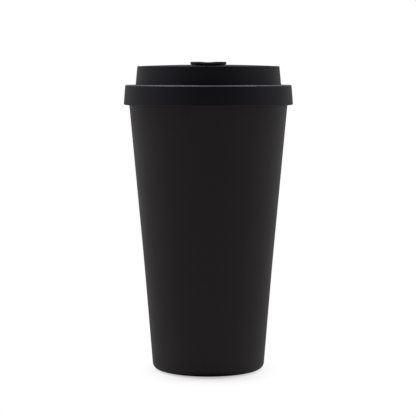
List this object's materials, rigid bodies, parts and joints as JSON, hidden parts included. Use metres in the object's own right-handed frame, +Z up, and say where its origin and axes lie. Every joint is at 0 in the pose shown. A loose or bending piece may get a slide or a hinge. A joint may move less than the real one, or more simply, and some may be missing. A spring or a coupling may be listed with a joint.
{
  "type": "insulated travel mug",
  "caption": "Tall tapered double-walled vacuum cup with a pull-off silicone lid, raised drum over a wide band, and a pull-out sip stopper.",
  "frame": {"origin": "centre of the foot, on the surface that the mug stands on", "axes": "+Z up along the mug's axis, sip hole and its stopper towards -Y, +X to the right seen from the front"},
  "size_m": [0.096, 0.096, 0.1757],
  "materials": {
    "shell_coat": "matte black powder coat, very fine texture",
    "liner_steel": "electropolished stainless steel with faint turned lines",
    "sheet_steel": "pressed stainless sheet, mill finish",
    "foil": "bright reflective foil, lightly creased",
    "bead_glass": "fused sealing glass, dark green grey",
    "getter_alloy": "pressed grey powder metal",
    "adhesive": "translucent double-sided adhesive film",
    "pad_silicone": "matte black silicone",
    "lid_silicone": "soft matte black silicone with a cool tint",
    "stopper_silicone": "smooth black silicone, slightly glossier than the lid"
  },
  "bodies": {
    "cup": {"outer_shell": "shell_coat", "liner_wall": "liner_steel", "liner_bottom": "liner_steel", "reflector_sleeve": "foil", "reflector_disc": "foil", "shell_bottom": "sheet_steel", "seal_bead": "bead_glass", "getter_pill": "getter_alloy", "getter_strap": "sheet_steel", "base_cover": "sheet_steel", "pad_adhesive": "adhesive", "base_pad": "pad_silicone"},
    "lid": {"lid_cap": "lid_silicone"},
    "stopper": {"sip_stopper": "stopper_silicone"}
  },
  "joints": [
    {"name": "lid_lift", "type": "slide", "parent": "cup", "child": "lid", "axis": [0, 0, 1], "range_m": [0, 0.04]},
    {"name": "stopper_lift", "type": "slide", "parent": "lid", "child": "stopper", "axis": [0, 0, 1], "range_m": [0, 0.02]}
  ]
}
